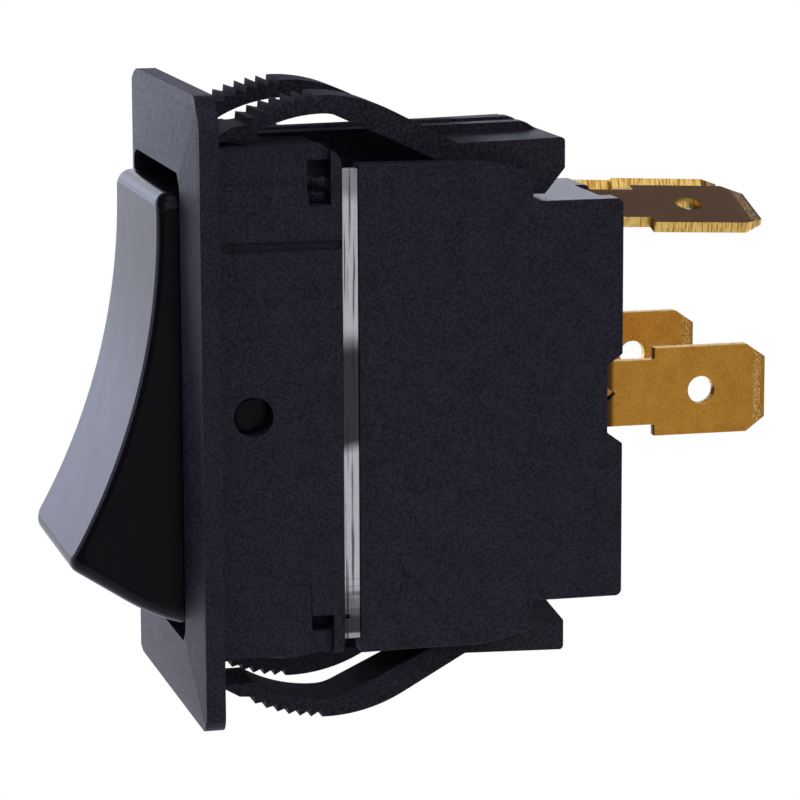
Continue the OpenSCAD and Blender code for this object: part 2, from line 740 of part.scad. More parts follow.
module wing(top, r, slope) {
    root_y = wing_root_y(top, r, slope);
    inner_top = top - wing_t;
    last_y = first_tooth_y - teeth * tooth_pitch;
    last_z = wing_outer(last_y, top, r);
    land = last_z - 1.05;
    land_y = wing_peak_y - sqrt(pow(wing_tip_radius, 2) - pow(land - inner_top + wing_tip_radius, 2));
    tip_turn = asin((wing_peak_y - land_y) / wing_tip_radius);
    along_x(clip_half_w - wing_w, clip_half_w) polygon(concat(
        [[root_y + over, clip_block_front], [root_y, clip_block_front]],
        arc(wing_peak_y, top - r, r, 90 - slope, 90, 14),
        tooth_line(top, r),
        [[last_y - 0.3, last_z - 0.12], [wing_tip_gap + 0.5, land + 0.4]],
        [[wing_tip_gap, land + 0.05], [wing_tip_gap, land]],
        arc(wing_peak_y, inner_top - wing_tip_radius, wing_tip_radius, 90 + tip_turn, 90 + tip_turn / 12, 11),
        arc(wing_peak_y, inner_top - wing_knee_radius, wing_knee_radius, 90, 90 - wing_inner_slope, 6),
        [[root_y + over, wing_inner(root_y + over, top)]]
    ));
}

// The block that carries a clip's wings; its foot stands on the base.
module clip_root(top, r, slope) {
    root_y = wing_root_y(top, r, slope);
    floor = clip_floor + clip_toe;
    along_x(-clip_half_w, clip_half_w) polygon(rounded([
        [root_y, clip_block_front, 0], [clip_rear, clip_block, 0.3], [clip_rear, clip_block - 2.15, 0.2],
        [clip_rear - 1.45, floor, 0], [wing_foot_y(floor, top) + 0.1, floor, 0],
        [root_y, wing_inner(root_y, top) + 0.1, 0],
    ]));
}

function spine_z(y) = spine_top_rear - (clip_rear - spine_round_y - y) * tan(spine_slope);

module spine() {
    rear = clip_rear - 0.25;
    round_y = clip_rear - spine_round_y;
    rib = 1.3;
    lip = housing_top - spine_channel + seat_gap;
    for (x = [-spine_half_w, spine_half_w - rib]) {
        along_x(x, x + rib) polygon(rounded([
            [spine_front, lip, 0], [spine_front, spine_z(spine_front), 0.15],
            [round_y, spine_top_rear, 1], [rear, clip_block - 0.1, 0], [rear - over, clip_floor + over, 0],
            [base_y + seat_gap, clip_floor + over, 0], [base_y + seat_gap, lip, 0],
        ], 8));
        block([x, base_y + seat_gap, clip_floor], [x + rib, rear - over, clip_floor + over + eps]);
    }
    along_x(-spine_half_w + rib - eps, spine_half_w - rib + eps) polygon([
        [spine_front, lip], [spine_front, spine_z(spine_front) - 0.15],
        [rear - 0.6, spine_top_rear - 0.5], [rear - 0.6, clip_floor],
        [base_y + seat_gap, clip_floor], [base_y + seat_gap, lip],
    ]);
    block([-key_half_w, key_front, clip_floor - key_depth], [key_half_w, key_rear, clip_floor + eps]);
}

module clip(top, r, slope) {
    both_sides() wing(top, r, slope);
    clip_root(top, r, slope);
    spine();
}

module upper_clip() {
    color([0.1, 0.1, 0.13]) at_body() clip(upper_wing_top, upper_wing_radius, upper_wing_slope);
}

module lower_clip() {
    color([0.1, 0.1, 0.13]) at_body() mirror([0, 0, 1])
        clip(lower_wing_top, lower_wing_radius, lower_wing_slope);
}

// ---------- terminals ----------

// A tab lying in the X-Y plane: neck, shoulders, hole and coined tip.
module tab_blade() {
    half = tab_w / 2;
    neck = neck_w / 2;
    intersection() {
        translate([0, 0, -tab_t / 2]) linear_extrude(tab_t) difference() {
            polygon([
                [-neck, pocket_y], [-neck, shoulder_y], [-half, shoulder_y], [-half, tab_tip - tab_lead_l],
                [-half + tab_lead_w, tab_tip], [half - tab_lead_w, tab_tip], [half, tab_tip - tab_lead_l],
                [half, shoulder_y], [neck, shoulder_y], [neck, pocket_y],
            ]);
            translate([0, tab_tip - tab_hole_y]) circle(d = tab_hole_d);
        }
        along_x(-tab_w, tab_w) polygon([
            [pocket_y - over, -tab_t], [pocket_y - over, tab_t], [tab_tip - tab_lead_l, tab_t],
            [tab_tip - tab_lead_l, tab_t / 2], [tab_tip, tab_lead_t / 2], [tab_tip, -tab_lead_t / 2],
            [tab_tip - tab_lead_l, -tab_t / 2], [tab_tip - tab_lead_l, -tab_t],
        ]);
    }
}

// The strip that runs on from the tab into the base.
module tab_strip(w, from_y) {
    block([-w / 2, from_y, -tab_t / 2], [w / 2, pocket_y + eps, tab_t / 2]);
}

// The middle terminal ends inside in a cradle with the bead that the blade rocks on.
module middle_terminal() {
    cradle_y = fulcrum_y;
    inner_x = pole_x - blade_w / 2 - 0.1;
    difference() {
        translate([middle_x, 0, 0]) rotate([0, 90, 0]) {
            tab_blade();
            tab_strip(neck_w, cradle_y);
        }
        along_x(middle_x - over, middle_x + over) polygon([
            [pocket_y - eps, stake_notch_half], [pocket_y + stake_notch_l, 0], [pocket_y - eps, -stake_notch_half],
        ]);
    }
    block([inner_x, cradle_y, -neck_w / 2], [middle_x + tab_t / 2, cradle_y + tab_t, neck_w / 2]);
    bar_x(inner_x, pole_x + blade_w / 2 + 0.1, bead_r, fulcrum_y, 0);
}

module right_middle_terminal() {
    color(brass) at_body() middle_terminal();
}

module left_middle_terminal() {
    color(brass) at_body() mirror([1, 0, 0]) middle_terminal();
}

// The upper terminal is bent down inside to carry the fixed contact.
module upper_terminal() {
    at_upper_terminal() {
        translate([0, pocket_y, 0]) rotate([-upper_droop, 0, 0]) translate([0, -pocket_y, 0]) tab_blade();
        tab_strip(strip_w, contact_leg_y);
        block([-strip_w / 2, contact_leg_y, -leg_l], [strip_w / 2, contact_leg_y + tab_t, tab_t / 2]);
    }
}

module right_upper_terminal() {
    color(brass) at_body() upper_terminal();
}

module left_upper_terminal() {
    color(brass) at_body() mirror([1, 0, 0]) upper_terminal();
}

// ---------- contacts and blades ----------

module fixed_contact() {
    at_upper_terminal() translate([0, fixed_face_y, -contact_drop]) rotate([-90, 0, 0])
        cylinder(h = contact_t, d = contact_d);
}

module right_fixed_contact() {
    color(silver) at_body() fixed_contact();
}

module left_fixed_contact() {
    color(silver) at_body() mirror([1, 0, 0]) fixed_contact();
}

// Front line of a blade from its lower to its upper end, as [height, rise to the front].
function blade_line() = concat(
    [[-arm_end[0], arm_end[1]], [-arm_start[0], arm_start[1]]],
    [for (i = [0:16]) let (a = dish_angle * (i / 8 - 1))
        [dish_radius * sin(a), bead_to_face + dish_radius * (1 - cos(a))]],
    [arm_start, arm_end]);

// The same line moved back by the blade's thickness, square to its run.
function moved_back(line, t) = [for (i = [0:len(line) - 1])
    let (a = line[max(i - 1, 0)], b = line[min(i + 1, len(line) - 1)], d = unit(b - a))
    line[i] + t * [d[1], -d[0]]];

function mirrored_path(line) = [for (p = line) [-p[1], p[0]]];

function reversed(line) = [for (i = [len(line) - 1:-1:0]) line[i]];

module at_fulcrum() {
    at_body() translate([0, fulcrum_y, 0]) rotate([blade_tilt, 0, 0]) children();
}

module contact_blade() {
    line = blade_line();
    along_x(pole_x - blade_w / 2, pole_x + blade_w / 2)
        polygon(mirrored_path(concat(line, reversed(moved_back(line, blade_t)))));
}

module right_contact_blade() {
    color([0.8, 0.5, 0.3]) at_fulcrum() contact_blade();
}

module left_contact_blade() {
    color([0.8, 0.5, 0.3]) at_fulcrum() mirror([1, 0, 0]) contact_blade();
}

module moving_contact() {
    translate([pole_x, -arm_rear_at_contact, contact_z]) rotate([blade_tilt, 0, 0]) rotate([-90, 0, 0])
        cylinder(h = contact_t, d = contact_d);
}

module right_moving_contact() {
    color(silver) at_fulcrum() moving_contact();
}

module left_moving_contact() {
    color(silver) at_fulcrum() mirror([1, 0, 0]) moving_contact();
}

// ---------- plungers and springs ----------

spring_mean_r = (stem_d / 2 + plunger_r) / 2 + 0.05;

module plunger() {
    translate([pole_x, 0, 0]) rotate([-90, 0, 0]) {
        translate([0, 0, plunger_shoulder]) cylinder(h = plunger_reach - plunger_shoulder, r = plunger_r);
        translate([0, 0, plunger_reach]) sphere(plunger_r);
        translate([0, 0, guide_floor + 1.6]) cylinder(h = plunger_shoulder - guide_floor - 1.6 + eps, d = stem_d);
    }
}

module right_plunger() {
    color([0.9, 0.88, 0.8]) at_pivot() plunger();
}

module left_plunger() {
    color([0.9, 0.88, 0.8]) at_pivot() mirror([1, 0, 0]) plunger();
}

// A coil swept with a round wire; the wire's ring stays square to the helix.
module coil(mean_r, wire, length, turns) {
    sides = 8;
    steps = ceil(turns * 18);
    climb = (length - wire) / steps;
    lead = atan2(length - wire, 360 * turns * mean_r * PI / 180);
    pts = [for (i = [0:steps]) let (a = 360 * turns * i / steps, c = [cos(a), sin(a), 0],
            n = cross(c, [-sin(a) * cos(lead), cos(a) * cos(lead), sin(lead)]))
        each [for (j = [0:sides - 1]) let (b = 360 * j / sides)
            mean_r * c + [0, 0, wire / 2 + climb * i] + wire / 2 * (cos(b) * c + sin(b) * n)]];
    walls = [for (i = [0:steps - 1], j = [0:sides - 1]) let (k = (j + 1) % sides)
        [i * sides + j, i * sides + k, (i + 1) * sides + k, (i + 1) * sides + j]];
    polyhedron(pts, concat(walls, [[for (j = [sides - 1:-1:0]) j]], [[for (j = [0:sides - 1]) steps * sides + j]]),
        convexity = 8);
}

module plunger_spring() {
    slack = 0.04;
    translate([pole_x, guide_floor + slack, 0]) rotate([-90, 0, 0])
        coil(spring_mean_r, spring_wire, plunger_shoulder - guide_floor - 2 * slack, spring_turns);
}

module right_plunger_spring() {
    color(silver) at_pivot() plunger_spring();
}

module left_plunger_spring() {
    color(silver) at_pivot() mirror([1, 0, 0]) plunger_spring();
}

front_frame();
rocker();
yoke_plate();
base();
upper_clip();
lower_clip();
right_middle_terminal();
left_middle_terminal();
right_upper_terminal();
left_upper_terminal();
right_fixed_contact();
left_fixed_contact();
right_contact_blade();
left_contact_blade();
right_moving_contact();
left_moving_contact();
right_plunger();
left_plunger();
right_plunger_spring();
left_plunger_spring();
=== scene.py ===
import math

import bmesh
import bpy
import numpy as np
from mathutils import Matrix, Vector


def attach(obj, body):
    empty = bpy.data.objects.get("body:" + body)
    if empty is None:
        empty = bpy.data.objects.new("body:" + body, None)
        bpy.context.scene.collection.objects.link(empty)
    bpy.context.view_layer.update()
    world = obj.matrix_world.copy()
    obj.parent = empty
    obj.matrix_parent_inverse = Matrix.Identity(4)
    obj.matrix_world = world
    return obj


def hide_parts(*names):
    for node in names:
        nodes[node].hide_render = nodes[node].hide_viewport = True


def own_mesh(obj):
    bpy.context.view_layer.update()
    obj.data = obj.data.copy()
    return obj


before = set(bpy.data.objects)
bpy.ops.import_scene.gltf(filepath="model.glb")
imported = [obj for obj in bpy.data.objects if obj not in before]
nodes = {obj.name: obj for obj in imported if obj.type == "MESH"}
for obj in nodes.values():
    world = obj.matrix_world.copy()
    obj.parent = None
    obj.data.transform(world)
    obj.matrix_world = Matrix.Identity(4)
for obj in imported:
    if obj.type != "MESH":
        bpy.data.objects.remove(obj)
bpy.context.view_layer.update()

MM = 0.001


# ---- camera ----
# A long lens from a little above, looking at the side with the pivot hole and
# the middle tabs, so that the rocker stands at the left and the tabs at the right.
azimuth, elevation, roll = (math.radians(a) for a in (75.84, 10.273, -0.234))
stand = [v * MM for v in (254.141, -48.484, 45.962)]
sensor_width, focal_length = 36, 166.03

back = Vector((
    math.sin(azimuth) * math.cos(elevation),
    -math.cos(azimuth) * math.cos(elevation),
    math.sin(elevation),
))
side = (-back).cross(Vector((0, 0, 1))).normalized()
up = side.cross(-back)
cam_x = math.cos(roll) * side + math.sin(roll) * up
cam_y = -math.sin(roll) * side + math.cos(roll) * up
camera = bpy.data.objects.new("camera", bpy.data.cameras.new("camera"))
camera.data.sensor_width = sensor_width
camera.data.lens = focal_length
camera.data.clip_start = 0.01
camera.data.clip_end = 20
camera.matrix_world = Matrix((
    (cam_x.x, cam_y.x, back.x, stand[0]),
    (cam_x.y, cam_y.y, back.y, stand[1]),
    (cam_x.z, cam_y.z, back.z, stand[2]),
    (0, 0, 0, 1),
))
bpy.context.scene.collection.objects.link(camera)
bpy.context.scene.camera = camera
bpy.context.scene.view_settings.view_transform = "Standard"


# ---- light and floor ----
# A plain studio with seven soft lamps, the strongest over the viewer's shoulder, and
# the others behind, above, low, underneath, at the far side and in front. The floor
# and the sheet behind light the part as pale card does, and show as white.
class Sock:
    """A shader socket with arithmetic, so that materials read as formulas."""

    def __init__(self, tree, out):
        self.tree, self.out = tree, out

    def node(self, kind, inputs=None, out=0, **settings):
        n = self.tree.nodes.new(kind)
        for key, value in settings.items():
            setattr(n, key, value)
        for key, value in (inputs or {}).items():
            feed(self.tree, value, n.inputs[key])
        return Sock(self.tree, n.outputs[out])

    def math(self, operation, a, b=0.0):
        return self.node("ShaderNodeMath", {0: a, 1: b}, operation=operation)

    def __add__(self, other):
        return self.math("ADD", self, other)

    def __radd__(self, other):
        return self.math("ADD", other, self)

    def __sub__(self, other):
        return self.math("SUBTRACT", self, other)

    def __rsub__(self, other):
        return self.math("SUBTRACT", other, self)

    def __mul__(self, other):
        return self.math("MULTIPLY", self, other)

    def __rmul__(self, other):
        return self.math("MULTIPLY", other, self)

    def abs(self):
        return self.math("ABSOLUTE", self)

    def lower(self, other):
        return self.math("MINIMUM", self, other)

    def higher(self, other):
        return self.math("MAXIMUM", self, other)

    def step(self, low, high):
        """0 below low, 1 above high, smooth between them."""
        return self.node("ShaderNodeMapRange", {0: self, 1: low, 2: high, 3: 0.0, 4: 1.0},
                         interpolation_type="SMOOTHSTEP")

    def mixed(self, low, high):
        """The colour low where this is 0 and high where it is 1."""
        return self.node("ShaderNodeMix", {0: self, 6: low, 7: high}, out=2, data_type="RGBA")


def feed(tree, value, socket):
    if isinstance(value, Sock):
        tree.links.new(value.out, socket)
    elif isinstance(value, tuple) and len(value) == 3 and len(socket.default_value) == 4:
        socket.default_value = (*value, 1)
    else:
        socket.default_value = value


def lamp(name, at, towards, width, height, watts, colour):
    light = bpy.data.lights.new(name, "AREA")
    light.shape = "RECTANGLE"
    light.size, light.size_y, light.energy, light.color = width, height, watts, colour
    o = bpy.data.objects.new(name, light)
    o.location = at
    o.rotation_euler = (Vector(towards) - Vector(at)).to_track_quat("-Z", "Y").to_euler()
    o.visible_camera = False
    bpy.context.scene.collection.objects.link(o)


# Place, what it is aimed at, width and height in metres, watts and colour.
housing, flange = (0, 0.02, 0), (0, 0, 0)
lamp("lamp_back", (-0.95, 0.25, 0.24), housing, 1.3, 0.34, 0.9, (0.76, 0.79, 1.0))
lamp("lamp_top", (0.1, 0.1, 0.9), housing, 0.5, 0.5, 1.0, (0.85, 0.9, 1.0))
lamp("lamp_near", (0.7, 0.1, 0.62), housing, 1.0, 0.8, 3.0, (0.94, 0.94, 1.0))
lamp("lamp_low", (0.9, 0.27, -0.26), housing, 0.7, 0.8, 0.56, (0.97, 0.96, 1.0))
lamp("lamp_under", (0.5, 0.2, -0.55), housing, 0.4, 0.4, 0.4, (0.97, 0.97, 1.0))
lamp("lamp_side", (-0.8, -0.4, 0.0), flange, 0.6, 0.7, 1.3, (0.6, 0.67, 1.0))
lamp("lamp_front", (-0.1, -0.8, 0.1), flange, 0.5, 0.5, 2.2, (0.8, 0.84, 1.0))

card_colour, white, white_in_mirrors = (0.8, 0.8, 0.8), (1.0, 1.0, 1.0), (0.87, 0.89, 1.0)
room = (0.12, 0.12, 0.135)
floor_z, sheet_top, half_l, floor_edge = -0.07, 0.42, 1.2, 0.06


def white_to_eye(material):
    """Pale card to diffuse light, and white where it is looked at, mirrored or seen through."""
    tree = material.node_tree
    tree.nodes.clear()
    path = tree.nodes.new("ShaderNodeLightPath")
    looked_at, mirrored, through = (
        Sock(tree, path.outputs[f"Is {ray} Ray"]) for ray in ("Camera", "Glossy", "Transmission"))
    lit = tree.nodes.new("ShaderNodeBsdfDiffuse")
    lit.inputs["Color"].default_value = (*card_colour, 1)
    shown = tree.nodes.new("ShaderNodeEmission")
    feed(tree, mirrored.mixed(white, white_in_mirrors), shown.inputs["Color"])
    mix = tree.nodes.new("ShaderNodeMixShader")
    tree.links.new(looked_at.higher(mirrored).higher(through).out, mix.inputs[0])
    tree.links.new(lit.outputs[0], mix.inputs[1])
    tree.links.new(shown.outputs[0], mix.inputs[2])
    out = tree.nodes.new("ShaderNodeOutputMaterial")
    tree.links.new(mix.outputs[0], out.inputs["Surface"])


def sheet(name, corners):
    mesh = bpy.data.meshes.new(name)
    mesh.from_pydata(corners, [], [(0, 1, 2, 3)])
    mesh.materials.append(pale)
    o = bpy.data.objects.new(name, mesh)
    bpy.context.scene.collection.objects.link(o)


pale = bpy.data.materials.new("pale_sheet")
pale.use_nodes = True
white_to_eye(pale)
sheet("floor", [(-half_l, -half_l, floor_z), (floor_edge, -half_l, floor_z),
                (floor_edge, half_l, floor_z), (-half_l, half_l, floor_z)])
sheet("backdrop", [(-half_l, -half_l, floor_z), (-half_l, half_l, floor_z),
                   (-half_l, half_l, sheet_top), (-half_l, -half_l, sheet_top)])

world = bpy.data.worlds.new("studio")
bpy.context.scene.world = world
world.use_nodes = True
sky = world.node_tree
looked_at = Sock(sky, sky.nodes.new("ShaderNodeLightPath").outputs["Is Camera Ray"])
feed(sky, looked_at.mixed(room, white), sky.nodes["Background"].inputs["Color"])
feed(sky, 1.0, sky.nodes["Background"].inputs["Strength"])


# ---- front frame and base ----
# Glass-filled nylon mouldings, blue-black, with a fine spark-eroded grain. The
# shut-off faces on top of the base's rear are smoother than the rest, and the
# shelf in front of them is duller.
class Finish:
    """A material with its Principled shader, and the place in millimetres to vary it by."""

    def __init__(self, name, **constants):
        self.material = bpy.data.materials.new(name)
        self.material.use_nodes = True
        self.tree = self.material.node_tree
        self.shader = self.tree.nodes["Principled BSDF"]
        coord = self.tree.nodes.new("ShaderNodeTexCoord")
        metres = Sock(self.tree, coord.outputs["Object"])
        self.at = metres.node("ShaderNodeVectorMath", {0: metres, "Scale": 1 / MM},
                              operation="SCALE")
        self.x, self.y, self.z = self.split(self.at.out)
        self.facing = dict(zip("xyz", self.split(coord.outputs["Normal"])))
        for key, value in constants.items():
            self.set(key, value)

    def split(self, vector):
        parts = self.tree.nodes.new("ShaderNodeSeparateXYZ")
        self.tree.links.new(vector, parts.inputs[0])
        return (Sock(self.tree, o) for o in parts.outputs)

    def set(self, key, value):
        feed(self.tree, value, self.shader.inputs[key.replace("_", " ")])

    def noise(self, scale, detail=3.0, rough=0.55, stretch=(1, 1, 1)):
        place = self.at.node("ShaderNodeVectorMath", {0: self.at, 1: stretch}, operation="MULTIPLY")
        return place.node("ShaderNodeTexNoise", {
            "Vector": place, "Scale": scale, "Detail": detail, "Roughness": rough})

    def bump(self, height, distance):
        self.set("Normal", height.node("ShaderNodeBump", {
            "Height": height, "Distance": distance * MM, "Strength": 1.0}))


def paint(name, finish):
    nodes[name].data.materials.clear()
    nodes[name].data.materials.append(finish.material)


def soften(name, width):
    """Small real edge radii, made on the carried-over shape by modifiers only."""
    o = nodes[name]
    weld = o.modifiers.new("weld", "WELD")
    weld.merge_threshold = 0.001 * MM
    flat = o.modifiers.new("flat", "DECIMATE")
    flat.decimate_type = "DISSOLVE"
    flat.angle_limit = math.radians(0.4)
    bevel = o.modifiers.new("bevel", "BEVEL")
    bevel.width = width * MM
    bevel.segments = 2
    bevel.limit_method = "ANGLE"
    bevel.angle_limit = math.radians(28)
    bevel.miter_outer = "MITER_ARC"
    even = o.modifiers.new("even", "WEIGHTED_NORMAL")
    even.mode = "FACE_AREA"
    even.weight = 100
    even.thresh = 0.01
    for p in o.data.polygons:
        p.use_smooth = True


pit, crest, grain_depth, edge_radius = (0.0, 0.0, 0.001), (0.03, 0.024, 0.05), 0.08, 0.12
shelf_front, shelf_rear, shut_off_front = (0.6, 1.0), (22.5, 23.0), (23.0, 23.5)
grained = Finish("grained_plastic", Specular_IOR_Level=0.3)
fine = grained.noise(5.5, 3.0, 0.7)
broad = grained.noise(0.5, 2.0)
uneven = grained.noise(2.6, 3.0, 0.7) - 0.5
shut_off = grained.facing["z"].step(0.8, 0.95) * grained.y.step(*shut_off_front)
shelf = grained.y.step(*shelf_front) * (1 - grained.y.step(*shelf_rear))
shelf = grained.facing["z"].step(0.7, 0.9) * shelf
face = (0 - grained.facing["y"]).step(0.8, 0.95)
grained.set("Base Color", (fine * 0.9 + broad * 0.1).step(0.36, 0.64).mixed(pit, crest))
grained.set("Roughness", 0.5 + 0.3 * uneven - 0.28 * shut_off + 0.35 * shelf - 0.06 * face)
grained.bump(fine, grain_depth)
for name in ("front_frame", "base"):
    paint(name, grained)
    soften(name, edge_radius)

# ---- clips ----
# Springy unfilled nylon wings and blocks, one moulding at each end. They are duller
# than the housing on the wings, and smoother on the blocks towards the rear.
pit, crest, grain_depth, edge_radius = (0.001, 0.0, 0.002), (0.034, 0.026, 0.046), 0.08, 0.07
block_front = (18.0, 21.0)
smooth = Finish("smooth_plastic", Specular_IOR_Level=0.3)
fine = smooth.noise(5.5, 3.0, 0.7)
flow = smooth.noise(0.8, 3.0, 0.6)
block = smooth.y.step(*block_front)
smooth.set("Base Color", fine.step(0.36, 0.64).mixed(pit, crest))
smooth.set("Roughness", 0.62 + 0.2 * flow - 0.26 * block)
smooth.bump(fine, grain_depth)
for name in ("upper_clip", "lower_clip"):
    paint(name, smooth)
    soften(name, edge_radius)

# ---- rocker ----
# A satin black moulding with a hollow front, swept ends and pivot bosses. The
# carried-over shape is filled out by a wedge at each sloped end and cut to a pillow,
# whose faces run into each other by rounds. The bosses are added again at the last.
darker, lighter, grain_depth = (0.0036, 0.0024, 0.0046), (0.0062, 0.0046, 0.0082), 0.006
satin = Finish("satin_plastic", Specular_IOR_Level=0.14)
fine = satin.noise(5.0, 2.0)
smear = satin.noise(0.35, 3.0, 0.6)
satin.set("Base Color", fine.mixed(darker, lighter))
satin.set("Roughness", 0.19 + 0.08 * smear)
satin.bump(fine, grain_depth)

pivot, tilt_angle = Vector((0, 2.64, -0.3)), -14.5
# From the pivot, with the rocker level: x across, y to the rear and z along it.
half_w, pillow_rear = 8.28, 14.0
dish_r, dish_at = 46.64, -54.45
sweep_r, corner_r, slope = 15.66, 0.95, 0.335
front_round, side_round, stations = 0.55, 1.3, 11
wedge_profile = ((-10.2, 12.0), (-10.2, 13.8), (-4.5, 15.4),
                 (-4.5, 14.6), (-7.5, 13.2), (-9.0, 12.0))
boss_r, boss_x, boss_sides = 1.35, (8.2, 9.0), 48
boss_tip_r, boss_tip_x, boss_tip_flat = 1.05, (9.0, 9.5), 0.2
tilt = (Matrix.Translation(pivot * MM) @ Matrix.Rotation(math.radians(tilt_angle), 4, "X")
        @ Matrix.Scale(MM, 4))


def inset(x, radius):
    """How far a round of this radius along the sides draws a surface back at x."""
    over = max(abs(x) - (half_w - radius), 0.0)
    return radius - math.sqrt(max(radius * radius - over * over, 0.0))


def arc(cy, cz, radius, angles):
    return [(cy + radius * math.cos(t), cz + radius * math.sin(t)) for t in angles]


def pillow_line(x):
    """Depth and height of the pillow's upper outline at x, from the hollow's middle to the rear."""
    front, end = dish_r + inset(x, front_round), sweep_r - inset(x, side_round)
    lean = math.hypot(1, slope)
    reach, high = front + corner_r, (end - corner_r) * lean
    half = high * slope - dish_at
    across = math.sqrt(half ** 2 - lean ** 2 * (dish_at ** 2 + high ** 2 - reach ** 2))
    cy = (across - half) / lean ** 2
    cz = high + slope * cy
    meet, leave = math.atan2(cz, cy - dish_at), math.pi / 2 + math.atan(slope)
    line = arc(dish_at, 0, front, np.linspace(0, meet, 25))
    line += arc(cy, cz, corner_r, np.linspace(math.pi + meet, leave, 9)[1:])
    line += arc(0, 0, end, np.linspace(leave, math.pi / 2, 13))
    return line + [(pillow_rear, end)]


def join_rings(bm, one, two):
    """Faces between two rings of as many points."""
    following = [*range(1, len(one)), 0]
    for i, j in enumerate(following):
        bm.faces.new((one[i], one[j], two[j], two[i]))


def mesh_object(name, bm):
    mesh = bpy.data.meshes.new(name)
    bmesh.ops.recalc_face_normals(bm, faces=bm.faces)
    bm.to_mesh(mesh)
    bm.free()
    o = bpy.data.objects.new(name, mesh)
    bpy.context.scene.collection.objects.link(o)
    return o


bm = bmesh.new()
across = [half_w - side_round * (1 - math.sin(t)) for t in np.linspace(0, math.pi / 2, stations)]
rings = []
for x in [-v for v in reversed(across)] + across:
    upper = pillow_line(x)
    outline = [(y, -z) for y, z in reversed(upper[1:])] + upper
    rings.append([bm.verts.new((x, y, z)) for y, z in outline])
for one, two in zip(rings, rings[1:]):
    join_rings(bm, one, two)
bm.faces.new(rings[0])
bm.faces.new(rings[-1])
bm.transform(tilt)
pillow = mesh_object("rocker_pillow", bm)

bm = bmesh.new()
for end in (-1, 1):
    left, right = ([bm.verts.new((x, y, end * z)) for y, z in wedge_profile]
                   for x in (-half_w, half_w))
    join_rings(bm, left, right)
    bm.faces.new(left)
    bm.faces.new(right)
bm.transform(tilt)
wedges = mesh_object("rocker_wedges", bm)

rocker_cap = bpy.data.objects.new("rocker_cap", nodes["rocker"].data.copy())
bpy.context.scene.collection.objects.link(rocker_cap)
weld = rocker_cap.modifiers.new("weld", "WELD")
weld.merge_threshold = 0.001 * MM
for operation, tool in (("UNION", wedges), ("INTERSECT", pillow)):
    cut = rocker_cap.modifiers.new(operation, "BOOLEAN")
    cut.operation = operation
    cut.solver = "EXACT"
    cut.object = tool
graph = bpy.context.evaluated_depsgraph_get()
rounded = bpy.data.meshes.new_from_object(rocker_cap.evaluated_get(graph))
rocker_cap.modifiers.clear()
bm = bmesh.new()
bm.from_mesh(rounded)
bmesh.ops.dissolve_limit(bm, angle_limit=math.radians(0.25), verts=bm.verts, edges=bm.edges)
turn = np.linspace(0, 2 * math.pi, boss_sides, endpoint=False)
for end in (-1, 1):
    for radius, boss_ends, flat in ((boss_r, boss_x, boss_r),
                                    (boss_tip_r, boss_tip_x, boss_tip_flat)):
        root, tip = (
            [bm.verts.new(tilt @ Vector((end * x, min(y, flat), z)))
             for y, z in arc(0, 0, radius, turn)]
            for x in boss_ends)
        join_rings(bm, root, tip)
        bm.faces.new(tip)
        bm.faces.new(list(reversed(root)))
bmesh.ops.recalc_face_normals(bm, faces=bm.faces)
bm.to_mesh(rocker_cap.data)
bm.free()
bpy.data.objects.remove(pillow)
bpy.data.objects.remove(wedges)
rocker_cap.data.materials.clear()
rocker_cap.data.materials.append(satin.material)
for p in rocker_cap.data.polygons:
    p.use_smooth = True
rocker_cap.data.set_sharp_from_angle(angle=math.radians(35))
even = rocker_cap.modifiers.new("even", "WEIGHTED_NORMAL")
even.keep_sharp = True
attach(rocker_cap, "rocker")
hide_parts("rocker")

# ---- yoke plate ----
# A bright-plated steel stamping. Its sheared edge shows at the side of the switch, streaked and
# specked,
# with painted reflection in its colour: bright in two long bands, dark between them and towards the
# foot, and a painted highlight along the lip.
# Dark and bright painted reflection, the two colours of the edge.
painted_dark_reflection, painted_bright_reflection, edge_radius = (0.05, 0.045, 0.05), (1.0, 1.0, 1.0), 0.06
# Heights over which the look of the edge changes, in millimetres.
upper_starts, upper_fades = (3.6, 5.8), (13.8, 15.4)
lower_ends, lower_fades, lower_starts = (-3.2, -2.2), (-13.9, -12.0), (-15.0, -14.6)
banded_to, lip_top = (-12.6, -11.6), (-16.05, -15.9)
plated = Finish("plated_steel", Metallic=1.0)
wander = plated.noise(0.5, 2.0) - 0.5
run = plated.noise(3.0, 3.0, 0.6, stretch=(1, 1, 0.02))
bands = plated.noise(2.6, 2.0, 0.5, stretch=(0.1, 0.1, 1))
speck = plated.noise(5.0, 3.0, 0.7)
level = plated.z + wander * 1.2
# Painted reflection: a bright band up the edge and one below the middle, dimmed and banded towards
# the foot.
upper_reflection_band = level.step(*upper_starts) * (1 - 0.5 * level.step(*upper_fades))
foot = (0.3 + 0.7 * level.step(*lower_fades)) * level.step(*lower_starts)
banding = 1 - 0.5 * bands.step(0.45, 0.6) * (1 - level.step(*banded_to))
lower_reflection_band = (1 - level.step(*lower_ends)) * foot * banding
# A painted highlight along the lip at the foot of the edge.
lip = 1 - plated.z.step(*lip_top)
lines = 1 - 0.8 * run.step(0.54, 0.6)
# The painted reflection and painted highlight, with the real streaks and specks over them.
bright = 0.05 + 0.95 * (upper_reflection_band + lower_reflection_band) + 0.6 * lip
bright = bright * lines * (0.8 + 0.35 * speck)
plated.set("Base Color", bright.lower(1.0).mixed(painted_dark_reflection, painted_bright_reflection))
plated.set("Roughness", 0.55 - 0.1 * speck)
plated.bump(run + speck * 0.3, 0.03)
paint("yoke_plate", plated)
soften("yoke_plate", edge_radius)
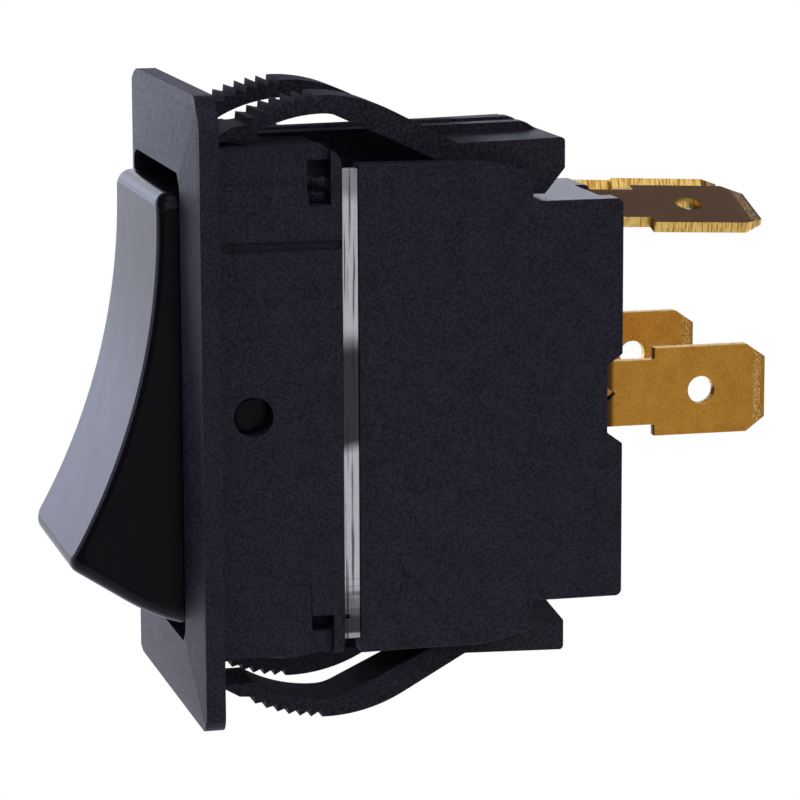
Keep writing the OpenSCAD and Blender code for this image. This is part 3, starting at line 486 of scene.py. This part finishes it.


# ---- terminals ----
# Brass stampings: rolled faces with a fine grain, sheared edges with streaks across
# them, and tips coined to a slant, which leaves them rough and bright. The upper
# terminals' rolled faces are darkened by a brown painted reflection, and the bright
# streaks of the sheared edges are lightened as a painted highlight.
def terminal_brass(name, rolled_axis, root, painted_reflection_share):
    """Rolled faces look along rolled_axis, and the last argument is their share of a brown
    painted reflection, which darkens them. Up to root the metal lies in its pocket's shade."""
    # A brown painted reflection for the rolled faces, and painted shade for the root in its pocket.
    brown, pocket_shade = (0.26, 0.14, 0.08), (0.06, 0.025, 0.01)
    clean_low, clean_high = (0.7, 0.305, 0.036), (1.0, 0.51, 0.08)
    # Sheared edges: streaked between these colours, the brighter one lightened as a painted
    # highlight.
    sheared_low, sheared_high = (0.55, 0.25, 0.04), (1.0, 0.7, 0.2)
    coined_low, coined_high = (0.3, 0.12, 0.02), (1.0, 0.75, 0.32)
    coined_from, coined_to = (39.5, 39.7), (40.15, 40.25)
    brass = Finish(name, Metallic=0.92)
    flat = brass.facing[rolled_axis].abs().step(0.45, 0.75)
    grain = brass.noise(7.0, 3.0, 0.7)
    streak = brass.noise(8.0, 3.0, 0.65, stretch=(0.08, 1, 0.08))
    cloud = brass.noise(0.7, 3.0, 0.6)
    tip = brass.y.step(*coined_from) * (1 - brass.y.step(*coined_to))
    # The rolled colours, darkened towards the brown painted reflection.
    low, high = (
        tuple(c + (b - c) * painted_reflection_share for c, b in zip(clean, brown))
        for clean in (clean_low, clean_high))
    rolled = (grain * 0.65 + cloud * 0.35).step(0.3, 0.7).mixed(low, high)
    # Real streaks across the sheared edges, whose bright part is also painted highlight.
    sheared = streak.step(0.4, 0.52).mixed(sheared_low, sheared_high)
    colour = flat.mixed(sheared, rolled)
    colour = (tip * grain.step(0.5, 0.6)).mixed(colour, coined_high)
    colour = (tip * (1 - grain.step(0.36, 0.44))).mixed(colour, coined_low)
    shaded = 1 - brass.y.step(root, root + 0.4)
    brass.set("Base Color", (shaded * 0.9).mixed(colour, pocket_shade))
    brass.set("Roughness", 0.3 + 0.12 * grain + 0.12 * tip)
    brass.bump(grain * flat + streak * (1 - flat) * 1.5 + grain * tip * 4.0, 0.02)
    return brass


edge_radius = 0.05
middle_brass = terminal_brass("middle_brass", rolled_axis="x", root=28.85, painted_reflection_share=0.0)
# The upper terminals' rolled tops carry a brown painted reflection.
upper_brass = terminal_brass("upper_brass", rolled_axis="z", root=20.0, painted_reflection_share=0.8)
for side_name in ("right", "left"):
    for where, finish in (("middle", middle_brass), ("upper", upper_brass)):
        paint(f"{side_name}_{where}_terminal", finish)
        soften(f"{side_name}_{where}_terminal", edge_radius)

# ---- plungers and contacts ----
# Pale acetal plungers with round ends push on brass blades, which see-saw on the
# middle terminals. Silver contacts sit on the blades and on the upper terminals.
silver = Finish("contact_silver", Metallic=1.0, Roughness=0.25)
silver.set("Base Color", silver.noise(3.0).mixed((0.6, 0.6, 0.58), (0.75, 0.74, 0.72)))
pale_plastic = Finish("pale_plastic", Roughness=0.45)
cloud = pale_plastic.noise(3.0)
pale_plastic.set("Base Color", cloud.mixed((0.62, 0.6, 0.52), (0.7, 0.68, 0.6)))
for side_name in ("right", "left"):
    for name in ("fixed_contact", "moving_contact"):
        paint(f"{side_name}_{name}", silver)
    paint(f"{side_name}_contact_blade", middle_brass)
    paint(f"{side_name}_plunger", pale_plastic)

# ---- plunger springs ----
# Small steel coils between the rocker and its plungers; each is a copy of the carried-over coil
# and moves with the rocker.
for side_name in ("right", "left"):
    name = f"{side_name}_plunger_spring"
    coil = bpy.data.objects.new(f"{side_name}_spring_coil", nodes[name].data.copy())
    bpy.context.scene.collection.objects.link(coil)
    coil.data.materials.clear()
    coil.data.materials.append(silver.material)
    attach(coil, "rocker")
    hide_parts(name)
    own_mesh(coil)
